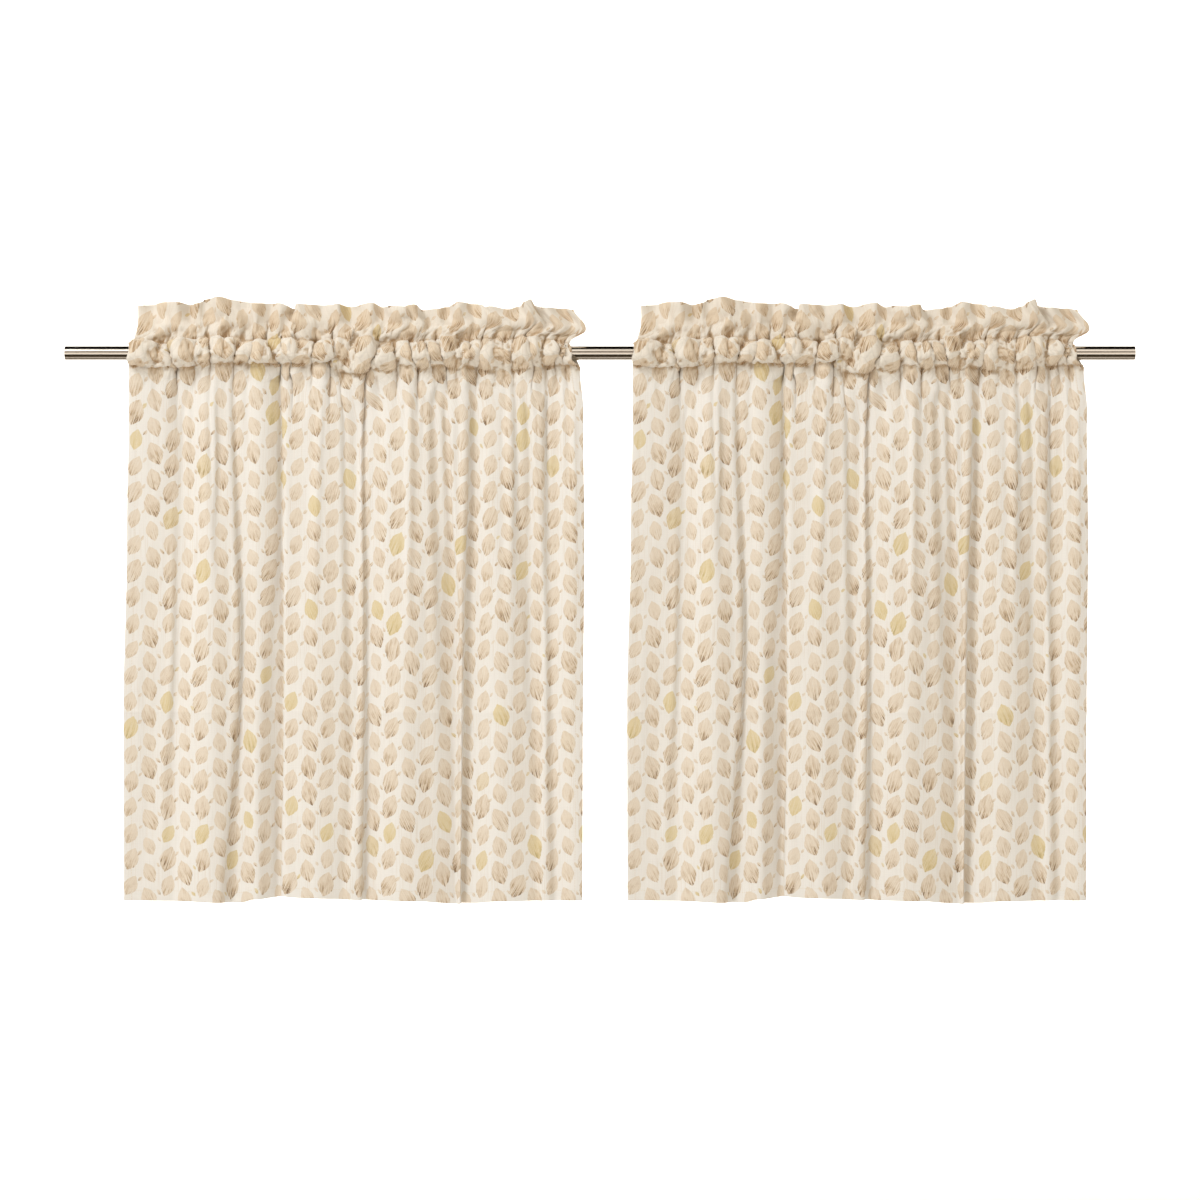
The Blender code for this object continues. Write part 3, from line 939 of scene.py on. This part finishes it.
def stitches(name, start, cloth, front, back):
    """All the stitches of one panel: both seams, the hem and the side hems, on both faces."""
    rows = [cloth.low, cloth.high, int(np.argmin(np.abs(cloth.up - BOTTOM_HEM + STITCH_INSET)))]
    inset = SIDE_HEM - STITCH_INSET
    columns = [int(np.argmin(np.abs(cloth.across - x))) for x in (inset, FLAT_WIDTH - inset)]
    runs = []
    for face, out in ((front, face_normals(front)), (back, -face_normals(back))):
        runs += [stitch_run(face[row], out[row]) for row in rows]
        runs += [stitch_run(face[: cloth.low, c], out[: cloth.low, c]) for c in columns]
    return new_tubes(name, np.concatenate(runs) + np.array([start, 0, 0]))


# The rod: a lathed bar with eased ends
ROD_SIDES = 128
ROD_EASING = 0.6 * MM
EASING_STEPS = 4


def make_rod():
    turn = np.arange(ROD_SIDES) * 2 * math.pi / ROD_SIDES
    bend = np.linspace(0, math.pi / 2, EASING_STEPS + 1)
    ends = ROD_HALF_LENGTH - ROD_EASING * (1 - np.sin(bend))
    radii = ROD_RADIUS - ROD_EASING * (1 - np.cos(bend))
    x = np.concatenate([-ends[::-1], ends])
    radius = np.concatenate([radii[::-1], radii])
    ring = np.stack([np.sin(turn), np.cos(turn)], -1)
    yz = radius[:, None, None] * ring
    points = np.concatenate([np.broadcast_to(x[:, None, None], yz.shape[:2] + (1,)), yz], -1)
    made = new_tubes("rod_bar", points[None])
    made.data.set_sharp_from_angle(angle=math.radians(40))
    return made


# Materials
def tone(red, green, blue):
    """A colour given as seen on a screen, 0 to 255, as the shader wants it."""
    scaled = [value / 255 for value in (red, green, blue)]
    return [v / 12.92 if v <= 0.04045 else ((v + 0.055) / 1.055) ** 2.4 for v in scaled] + [1.0]


class Value:
    """A number in a shader, which plain sums can use."""

    def __init__(self, shader, socket):
        self.shader = shader
        self.socket = socket

    def __add__(self, other):
        return self.shader.math("ADD", self, other)

    def __sub__(self, other):
        return self.shader.math("SUBTRACT", self, other)

    def __rsub__(self, other):
        return self.shader.math("SUBTRACT", other, self)

    def __mul__(self, other):
        return self.shader.math("MULTIPLY", self, other)

    def __truediv__(self, other):
        return self.shader.math("DIVIDE", self, other)


class Shader:
    """A material and short calls that add its nodes."""

    def __init__(self, name):
        self.material = bpy.data.materials.new(name)
        self.material.use_nodes = True
        self.tree = self.material.node_tree
        self.tree.nodes.clear()

    def node(self, kind, inputs, **settings):
        node = self.tree.nodes.new(kind)
        for key, value in settings.items():
            setattr(node, key, value)
        for key, value in inputs.items():
            if isinstance(value, Value):
                self.tree.links.new(value.socket, node.inputs[key])
            else:
                node.inputs[key].default_value = value
        return node

    def add(self, kind, inputs, output=0, **settings):
        """Adds a node and returns one of its outputs."""
        return Value(self, self.node(kind, inputs, **settings).outputs[output])

    def math(self, operation, a, b=0.0):
        return self.add("ShaderNodeMath", {0: a, 1: b}, operation=operation)

    def vector(self, x, y, z=0.0):
        return self.add("ShaderNodeCombineXYZ", {0: x, 1: y, 2: z})

    def parts(self, vector):
        split = self.node("ShaderNodeSeparateXYZ", {0: vector})
        return [Value(self, part) for part in split.outputs]

    def noise(self, x, y, wide, long, layer=0.0, detail=2.0):
        """Noise from 0 to 1 that changes over about wide along x and long along y."""
        place = self.vector(x / wide, y / long, layer)
        inputs = {"Vector": place, "Scale": 1.0, "Detail": detail}
        return self.add("ShaderNodeTexNoise", inputs, noise_dimensions="3D")

    def facets(self, x, y):
        """How far from the nearest edge of uneven cells about one unit wide."""
        inputs = {"Vector": self.vector(x, y), "Scale": 1.0}
        settings = {"voronoi_dimensions": "2D", "feature": "DISTANCE_TO_EDGE"}
        return self.add("ShaderNodeTexVoronoi", inputs, "Distance", **settings)

    def draws(self, x, y, z):
        """Three random values from 0 to 1 for each whole x, y and z."""
        inputs = {"Vector": self.vector(x, y, z)}
        found = self.add("ShaderNodeTexWhiteNoise", inputs, "Color", noise_dimensions="3D")
        return self.parts(found)

    def fade(self, value, start, end, low=0.0, high=1.0):
        """low up to start, high from end on, eased between."""
        limits = {0: value, 1: start, 2: end, 3: low, 4: high}
        return self.add("ShaderNodeMapRange", limits, interpolation_type="SMOOTHSTEP")

    def mix(self, share, first, second, blend="MIX"):
        colours = {0: share, 6: first, 7: second}
        return self.add("ShaderNodeMix", colours, 2, data_type="RGBA", blend_type=blend)

    def finish(self, inputs, height=None, relief=None):
        """Ends in a Principled shader; height is a bump in metres, relief its strength."""
        if height is not None:
            bump = {"Height": height, "Distance": 1.0, "Strength": relief}
            inputs["Normal"] = self.add("ShaderNodeBump", bump)
        self.node("ShaderNodeOutputMaterial", {0: self.add("ShaderNodeBsdfPrincipled", inputs)})
        return self.material


# The printed pattern, in mm on the flat cloth: leaf-shaped dabs in a half drop, with small
# dabs between them. A motif leans one way in one column and the other way in the next
MOTIFS = table(
    "shift_x shift_y pitch_x pitch_y half_length half_width lean wander seed",
    (0, 0, 25, 33, 15.6, 10.4, 0.36, 1.6, 1.0), (12.5, 8, 25, 33, 4.4, 2.4, -0.7, 1.6, 7.0),
)
MOTIF_TURN = 0.35
SMALLEST_MOTIF = 0.84
MOTIF_SIZES = 0.28
BRUSHED_EDGE = 3.2
PALE_PAINT = 0.42
PAINT_STRENGTHS = 0.60
LOW_END_DARK = 1.25
HAIR_DARK = 0.22
BROAD_DARK = 0.22
OCHRE_FROM = 0.93
OCHRE_SHARE = 0.6

CREAM = tone(240, 236, 229)
SHADED_CREAM = tone(230, 219, 204)
BEIGE = tone(232, 218, 198)
TAUPE = tone(203, 178, 147)
UMBER = tone(122, 95, 64)
OCHRE = tone(224, 204, 143)
CLOTH_LIGHTNESS = 0.84

# Painted shade: less light comes through doubled cloth, so the pocket and the heading are painted
# deeper and warmer.
# The tints are what is kept of each colour, there and in the bottoms of creases, where shade is
# painted as well
DOUBLED_SHADE_TINT = (0.98, 0.94, 0.88, 1.0)
DOUBLED_FROM = -25
DOUBLED_TO = 5
VALLEY_SHADE_TINT = (0.66, 0.55, 0.43, 1.0)

# The weave: how far apart its threads are, in mm, how high they and thicker threads stand, in
# metres, and how much lighter they are
PLY = 0.55
WEAVE_HEIGHT = 0.00003
SLUB_HEIGHT = 0.00012
WEAVE_SHADE = 0.018
SLUB_SHADE = 0.08

# The finest creases of crumpled cloth, in mm: how wide and long the cloth between them is, how
# high it stands (in metres), in what share of it a crease gets a painted shade and how much, and
# how far they reach from the rod
FINE_WIDTH = 7
FINE_LENGTH = 13
FINE_BEND = 13
FINE_HEIGHT = 0.0024
CREASE_SHARE = 0.10
CREASE_SHADE = 0.07
FINE_FULL = 24
FINE_END = 62


def motif_mask(s, u, v, m):
    """How much paint a motif leaves at u, v, how dark it is, and two of its random values."""
    u = (u + m.shift_x) / m.pitch_x
    column_number = s.math("FLOOR", u)
    odd = s.math("MODULO", s.math("ABSOLUTE", column_number), 2.0)
    v = (v + m.shift_y) / m.pitch_y + odd * 0.5
    row_number = s.math("FLOOR", v)
    r1, r2, r3 = s.draws(column_number, row_number, m.seed)
    r4, r5, r6 = s.draws(column_number, row_number, m.seed + 3.0)
    x = (s.math("FRACT", u) - 0.5) * m.pitch_x + (r1 - 0.5) * m.wander
    y = (s.math("FRACT", v) - 0.5) * m.pitch_y + (r2 - 0.5) * m.wander
    turn = (odd * 2.0 - 1.0) * m.lean + (r3 - 0.5) * MOTIF_TURN
    sine = s.math("SINE", turn)
    cosine = s.math("COSINE", turn)
    size = r4 * MOTIF_SIZES + SMALLEST_MOTIF
    along = (y * cosine - x * sine) / size
    aside = (x * cosine + y * sine) / size
    share = along / m.half_length
    # An almond: widest in the middle, pointed at both ends, with brushed edges
    edge = (1.0 - share * share) * m.half_width - s.math("ABSOLUTE", aside)
    rough = s.noise(aside, along, wide=1.6, long=5.0, layer=r5 * 90)
    edge = edge + (rough - 0.55) * BRUSHED_EDGE
    mask = s.fade(edge, -0.1, 0.9)
    hairs = s.noise(aside, along, wide=0.75, long=22.0, layer=r6 * 70, detail=4.0)
    broad = s.noise(aside, along, wide=3.5, long=9.0, layer=r5 * 50)
    low_end = s.fade(share, -0.95, 0.5, 1.0, 0.0) * s.fade(broad, 0.3, 0.62)
    dark = s.fade(hairs, 0.40, 0.66) * (low_end * LOW_END_DARK + HAIR_DARK)
    dark = dark + s.fade(broad, 0.45, 0.8) * BROAD_DARK
    thin = s.fade(hairs, 0.26, 0.46, 0.45, 0.95)
    return mask * thin, dark, r4, r6


def cloth_material(name, print_share):
    """Plain-woven cotton with the brushed print; print_share is how much paint comes through."""
    s = Shader(name)
    u, v = s.parts(s.add("ShaderNodeUVMap", {}, uv_map="cloth"))[:2]
    u = u * 1000.0
    v = v * 1000.0
    wave = s.noise(u, v, wide=60.0, long=60.0, layer=3.0)
    # The ground: cream with faint brushed stripes up the cloth
    stripe = s.noise(u, v, wide=1.3, long=60.0, detail=4.0)
    cloud = s.noise(u, v, wide=34.0, long=50.0, layer=5.0)
    wash = s.fade(stripe, 0.46, 0.75) * s.fade(cloud, 0.3, 0.75, 0.2, 1.0)
    colour = s.mix(wash * print_share, CREAM, SHADED_CREAM)
    for motif in MOTIFS:
        mask, dark, tint, other = motif_mask(s, u + wave * 6.0, v - wave * 5.0, motif)
        dark = dark * (tint * PAINT_STRENGTHS + PALE_PAINT)
        dab = s.mix(s.fade(dark, 0.0, 0.5), BEIGE, TAUPE)
        dab = s.mix(s.fade(dark, 0.5, 1.1), dab, UMBER)
        ochre = s.fade(other, OCHRE_FROM, OCHRE_FROM + 0.02) * OCHRE_SHARE
        dab = s.mix(ochre, dab, OCHRE)
        colour = s.mix(mask * print_share, colour, dab)
    # The weave: threads over and under each other, and a few thicker ones
    weave = s.math("SINE", u * (2 * math.pi / PLY)) * s.math("SINE", v * (2 * math.pi / PLY))
    slub_up = s.noise(u, v, wide=0.8, long=25.0, layer=9.0)
    slub = slub_up + s.noise(u, v, wide=25.0, long=0.8, layer=12.0)
    height = weave * WEAVE_HEIGHT + slub * SLUB_HEIGHT
    # Crumples where the cloth is gathered on the rod, with a painted shade along their creases
    middle = (SHEET_LENGTH + POCKET_LENGTH / 2) / MM
    crumpled = s.fade(s.math("ABSOLUTE", v - middle), FINE_FULL, FINE_END, 1.0, 0.0)
    bent = s.noise(u, v, wide=FINE_BEND, long=FINE_BEND, layer=15.0)
    from_crease = s.facets(bent * 1.3 + u / FINE_WIDTH, bent * -0.9 + v / FINE_LENGTH)
    height = height + from_crease * (crumpled * FINE_HEIGHT)
    crease = crumpled * s.fade(from_crease, 0.0, CREASE_SHARE, CREASE_SHADE, 0.0)
    # Painted shade over the pocket and the heading, where the cloth is doubled
    seam = SHEET_LENGTH / MM
    doubled_shade = s.fade(v, seam + DOUBLED_FROM, seam + DOUBLED_TO)
    colour = s.mix(doubled_shade, colour, DOUBLED_SHADE_TINT, "MULTIPLY")
    # Painted shade in the bottoms of creases near the rod
    valley_shade = s.add("ShaderNodeAttribute", {}, "Fac", attribute_name="valley_shade")
    colour = s.mix(valley_shade * crumpled, colour, VALLEY_SHADE_TINT, "MULTIPLY")
    # The cloth's lightness, with the weave, the thicker threads and the painted crease shade taken
    # off
    shade = weave * WEAVE_SHADE + (slub - 1.0) * SLUB_SHADE + (CLOTH_LIGHTNESS - crease)
    colour = s.add("ShaderNodeVectorMath", {0: colour, "Scale": shade}, operation="SCALE")
    inputs = {
        "Base Color": colour,
        "Roughness": s.fade(slub, 0.6, 1.4, 0.82, 0.94),
        "Specular IOR Level": 0.25,
        "Sheen Weight": 0.12,
        "Sheen Roughness": 0.5,
    }
    return s.finish(inputs, height, relief=0.6)


# Sewing thread and rod, in metres: the spacing of the thread's twist and fuzz, and of the
# lines and smudges along and across the rod, and how high the twist and the lines stand
TWIST = 2 * math.pi / 9000
FUZZ = 1 / 900
LINE_LENGTH = 1 / 12
LINE_WIDTH = 1 / 2600
SMUDGE_LENGTH = 1 / 9
SMUDGE_WIDTH = 1 / 40
FINE_RELIEF = 0.00002


def thread_material():
    """Spun sewing thread, beige with a slight twist."""
    s = Shader("sewing_thread")
    x, y, z = s.parts(s.add("ShaderNodeTexCoord", {}, "Object"))
    twist = s.math("SINE", (x + y + z) * (2 * math.pi / TWIST))
    fuzz = s.noise(x, y, FUZZ, FUZZ, z / FUZZ)
    colour = s.mix(s.fade(fuzz, 0.3, 0.7), tone(226, 214, 195), tone(203, 186, 160))
    return s.finish({"Base Color": colour, "Roughness": 0.8}, twist * FINE_RELIEF, relief=0.5)


def rod_material():
    """Steel, finely brushed along its length, slightly darker in places."""
    s = Shader("brushed_steel")
    x, y, z = s.parts(s.add("ShaderNodeTexCoord", {}, "Object"))
    lines = s.noise(x, y, LINE_LENGTH, LINE_WIDTH, z / LINE_WIDTH, detail=3.0)
    smudge = s.noise(x, y, SMUDGE_LENGTH, SMUDGE_WIDTH, z / SMUDGE_WIDTH)
    colour = s.mix(s.fade(lines, 0.3, 0.7), tone(196, 188, 178), tone(222, 216, 207))
    roughness = lines * 0.10 + smudge * 0.06 + 0.07
    inputs = {"Base Color": colour, "Roughness": roughness, "Metallic": 1.0}
    return s.finish(inputs, lines * FINE_RELIEF, relief=0.3)


def paint(piece, *materials):
    for material in materials:
        piece.data.materials.append(material)
    return piece


# Making the pieces
printed = cloth_material("printed_cotton", 1.0)
reverse = cloth_material("cotton_reverse", 0.22)
thread = thread_material()

rod = paint(make_rod(), rod_material())
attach(rod, "root")
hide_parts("rod")

cloth = Cloth()
shell = panel_shell(cloth)
for side, start in (("left", PANEL_START), ("right", PANEL_START + PANEL_STEP)):
    panel = paint(shell.build("curtain_" + side, start), printed, reverse)
    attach(panel, "root")
    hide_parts("panel_" + side)
    sewing = paint(stitches("stitches_" + side, start, cloth, cloth.front(), cloth.back()), thread)
    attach(sewing, "root")


# The room: a pale floor that curves up into a backdrop, soft lights and the camera
PHOTO_WIDTH = 1.512
VIEW_CENTRE = -0.311
CAMERA_DISTANCE = 5.0
SENSOR = 36.0
FLOOR_HEIGHT = HEM_HEIGHT - 0.55
BACKDROP_DISTANCE = 6.4
SWEEP_RADIUS = 1.2
ROOM_HALF_WIDTH = 8.0
ROOM_FRONT = -9.0
ROOM_TOP = 7.0

# The lights: where each is, what it points at, its width and height in metres, its power in
# watts, its colour and into how many degrees it shines
MIDDLE = (0, 0, VIEW_CENTRE)
WASHED = (0, BACKDROP_DISTANCE, -0.6)
LIGHTS = table(
    "name place target size power colour spread",
    ("key", (-2.6, -2.5, 3.0), MIDDLE, (1.6, 1.6), 133, (0.935, 0.96, 1.0), 180),
    ("fill", (2.8, -3.6, 0.4), MIDDLE, (2.8, 2.4), 10, (1.0, 0.97, 0.93), 180),
    ("backdrop_wash", (0, 4.4, 3.9), WASHED, (7.0, 1.4), 260, (1, 1, 1), 130),
)
AMBIENT = (1.0, 0.92, 0.80, 1)
AMBIENT_STRENGTH = 0.73

# What the rod reflects, from above to below: angle, how many degrees it spreads, and its light
CARD_DISTANCE = 1.1
CARD_HALF_LENGTH = 4
CARDS = table(
    "angle spread colour",
    (98, 68, (0.004, 0.003, 0.002)), (45, 34, (1.22, 1.14, 1.03)), (17, 20, (0.20, 0.15, 0.11)),
    (-7, 25, (1.36, 1.25, 1.12)), (-46, 46, (0.055, 0.040, 0.024)),
    (-79, 20, (0.66, 0.58, 0.49)), (-104, 26, (0.20, 0.17, 0.14)),
)


def make_room():
    turn = np.linspace(0, math.pi / 2, 25)
    corner_y = BACKDROP_DISTANCE - SWEEP_RADIUS + SWEEP_RADIUS * np.sin(turn)
    corner_z = FLOOR_HEIGHT + SWEEP_RADIUS * (1 - np.cos(turn))
    y = np.concatenate([[ROOM_FRONT], corner_y, [BACKDROP_DISTANCE]])
    z = np.concatenate([[FLOOR_HEIGHT], corner_z, [ROOM_TOP]])
    points = [[(x, b, c) for x in (-ROOM_HALF_WIDTH, ROOM_HALF_WIDTH)] for b, c in zip(y, z)]
    made = new_object("room", points, grid_faces(len(y), 2).tolist())
    made.data.shade_smooth()
    s = Shader("pale_room")
    return paint(made, s.finish({"Base Color": tone(250, 250, 250), "Roughness": 0.9}))


def look_at(thing, target):
    way = Vector(target) - thing.location
    thing.rotation_euler = way.to_track_quat("-Z", "Y").to_euler()


def add_light(name, place, target, size, power, colour, spread):
    light = bpy.data.lights.new(name, "AREA")
    light.shape = "RECTANGLE"
    light.size, light.size_y = size
    light.energy = power
    light.color = colour
    light.spread = math.radians(spread)
    made = placed(name, light)
    made.location = place
    look_at(made, target)


def add_card(angle, spread, colour):
    """A long strip seen only in the rod's gloss, centred at an angle above the horizon."""
    turn = math.radians(angle)
    y, z = -math.cos(turn) * CARD_DISTANCE, math.sin(turn) * CARD_DISTANCE
    half = math.tan(math.radians(spread / 2))
    corners = [
        (x, y - z * half * side, z + y * half * side)
        for x in (-CARD_HALF_LENGTH, CARD_HALF_LENGTH)
        for side in (-1, 1)
    ]
    name = "card_%d" % angle
    made = new_object(name, corners, [(0, 1, 3, 2)])
    s = Shader(name)
    glow = s.add("ShaderNodeEmission", {"Color": (*colour, 1.0), "Strength": 1.0})
    s.node("ShaderNodeOutputMaterial", {0: glow})
    paint(made, s.material)
    made.visible_camera = False
    made.visible_diffuse = False
    made.visible_shadow = False
    made.visible_transmission = False


room = make_room()
for light in LIGHTS:
    add_light(*light)
for card in CARDS:
    add_card(*card)

world = bpy.data.worlds.new("studio")
world.use_nodes = True
background = world.node_tree.nodes["Background"]
background.inputs["Color"].default_value = AMBIENT
background.inputs["Strength"].default_value = AMBIENT_STRENGTH
bpy.context.scene.world = world
bpy.context.scene.view_settings.view_transform = "Standard"

camera_data = bpy.data.cameras.new("camera")
camera_data.sensor_width = SENSOR
camera_data.lens = SENSOR * CAMERA_DISTANCE / PHOTO_WIDTH
camera = placed("camera", camera_data)
camera.location = (0, -CAMERA_DISTANCE, VIEW_CENTRE)
look_at(camera, MIDDLE)
bpy.context.scene.camera = camera
